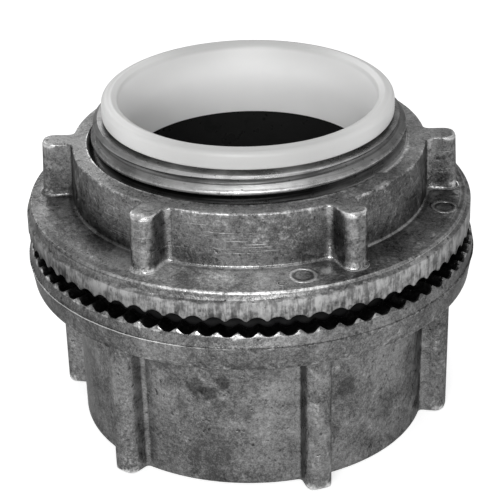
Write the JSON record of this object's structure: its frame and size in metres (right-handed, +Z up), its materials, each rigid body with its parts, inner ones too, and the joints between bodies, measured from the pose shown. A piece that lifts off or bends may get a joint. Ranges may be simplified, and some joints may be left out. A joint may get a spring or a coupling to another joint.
{
  "type": "conduit hub",
  "caption": "Watertight zinc conduit hub with a ribbed threaded barrel, toothed sealing flange, lugged locknut and white insulated throat.",
  "frame": {"origin": "centre of the barrel's bottom face, on the axis, on the surface the hub stands on", "axes": "+Z up the axis, out of the throat; -Y is the front that the picture shows, +X its right"},
  "size_m": [0.0597, 0.0596, 0.0455],
  "materials": {
    "zinc": "as-cast zinc alloy, mottled grey, not painted",
    "liner": "white moulded plastic, half gloss",
    "seal": "black moulded rubber"
  },
  "bodies": {
    "hub": {"hub_body": "zinc", "insulated_throat": "liner"},
    "seal": {"sealing_ring": "seal"},
    "nut": {"locknut": "zinc"}
  },
  "joints": [
    {"name": "locknut_turn", "type": "hinge", "parent": "hub", "child": "seal", "pos_m": [0, 0, 0.03325], "axis": [0, 0, 1], "range_deg": [-244, 2118]},
    {"name": "locknut_rise", "type": "slide", "parent": "seal", "child": "nut", "axis": [0, 0, 1], "range_m": [-0.0015, 0.013]}
  ],
  "couplings": [
    {"joint": "locknut_rise", "follows": "locknut_turn", "m_per_rad": 0.00035153}
  ]
}
